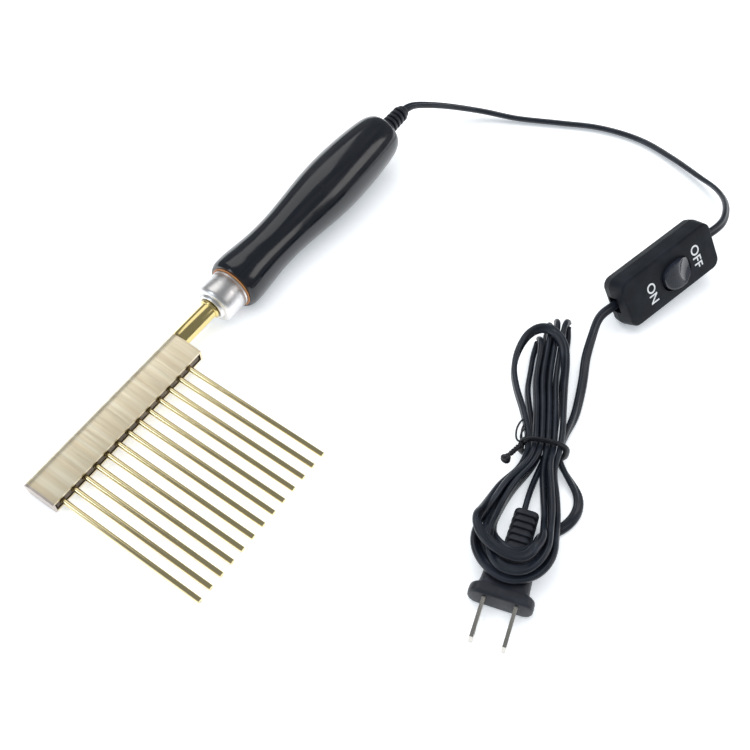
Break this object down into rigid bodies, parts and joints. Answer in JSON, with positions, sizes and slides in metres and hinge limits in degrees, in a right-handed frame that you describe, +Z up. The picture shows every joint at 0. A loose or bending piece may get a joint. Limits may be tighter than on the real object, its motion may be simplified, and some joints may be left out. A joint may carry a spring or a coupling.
{
  "type": "electric uncapping fork",
  "caption": "Heated comb-style uncapping fork with brass tines on a bar head, turned black handle, cord with an in-line rocker switch, and a flat-blade plug.",
  "frame": {"origin": "on the surface it lies on, at the middle of the fork's own footprint, without its cord, switch and plug", "axes": "+X along the fork from its head to its handle, +Y away from the tines' tips, +Z up"},
  "size_m": [0.3393, 0.208, 0.0332],
  "materials": {
    "brushed_brass": "brushed champagne brass with fine streaks across the head",
    "tine_brass": "drawn and polished brass wire with cut ends",
    "polished_brass": "polished yellow brass tube, slightly olive from heat",
    "dark_brass": "heat-darkened brass",
    "satin_metal": "satin grey plated metal",
    "ceramic": null,
    "steel": "zinc-plated steel",
    "fibreglass": "woven fibreglass sleeving",
    "copper": "bare copper alloy",
    "terminal_brass": "stamped brass",
    "lacquered_wood": "turned wood under thick gloss black lacquer",
    "black_rubber": "moulded satin rubber",
    "cord_jacket": "flat twin PVC jacket, satin with a groove along its middle",
    "tie_plastic": "plastic-coated wire",
    "matte_plastic": "fine matte moulded plastic, bluish black",
    "gloss_plastic": "polished black plastic",
    "plug_vinyl": "textured matte vinyl",
    "nickel": "nickel-plated brass"
  },
  "bodies": {
    "root": {"blade_left": "nickel", "blade_right": "nickel", "case_screw_1": "steel", "case_screw_2": "steel", "cord_to_hank": "cord_jacket", "cord_to_switch": "cord_jacket", "ferrule": "satin_metal", "handle": "lacquered_wood", "handle_lead": "cord_jacket", "hank_lower": "cord_jacket", "hank_upper": "cord_jacket", "head_end_cap": "satin_metal", "head_shell": "brushed_brass", "heater_core": "ceramic", "heater_lead_1": "fibreglass", "heater_lead_2": "fibreglass", "heating_wire": "steel", "insulating_sleeve": "fibreglass", "lead_splice_1": "copper", "lead_splice_2": "copper", "line_terminal": "terminal_brass", "neck_plate": "brushed_brass", "neck_tube": "polished_brass", "pivot_terminal": "terminal_brass", "plug_body": "plug_vinyl", "plug_lead": "cord_jacket", "strain_relief": "black_rubber", "switch_base": "matte_plastic", "switch_cover": "matte_plastic", "terminal_screw_1": "steel", "terminal_screw_2": "steel", "tine_01": "tine_brass", "tine_02": "tine_brass", "tine_03": "tine_brass", "tine_04": "tine_brass", "tine_05": "tine_brass", "tine_06": "tine_brass", "tine_07": "tine_brass", "tine_08": "tine_brass", "tine_09": "tine_brass", "tine_10": "tine_brass", "tine_11": "tine_brass", "tine_12": "tine_brass", "tine_13": "tine_brass", "tine_bar": "dark_brass", "twist_tie": "tie_plastic"},
    "rocker": {"rocker": "gloss_plastic", "plunger": "copper", "plunger_spring": "steel"},
    "contact_bridge": {"contact_bridge": "copper"}
  },
  "joints": [
    {"name": "rocker_tilt", "type": "hinge", "parent": "root", "child": "rocker", "pos_m": [0.11692, -0.12392, 0.01715], "axis": [-0.0434, -0.515, -0.8561], "range_deg": [0, 16]},
    {"name": "contact_tilt", "type": "hinge", "parent": "root", "child": "contact_bridge", "pos_m": [0.11822, -0.12025, 0.01488], "axis": [-0.0434, -0.515, -0.8561], "range_deg": [-9.6, 0]}
  ],
  "couplings": [
    {"joint": "contact_tilt", "follows": "rocker_tilt", "ratio": -0.6}
  ]
}
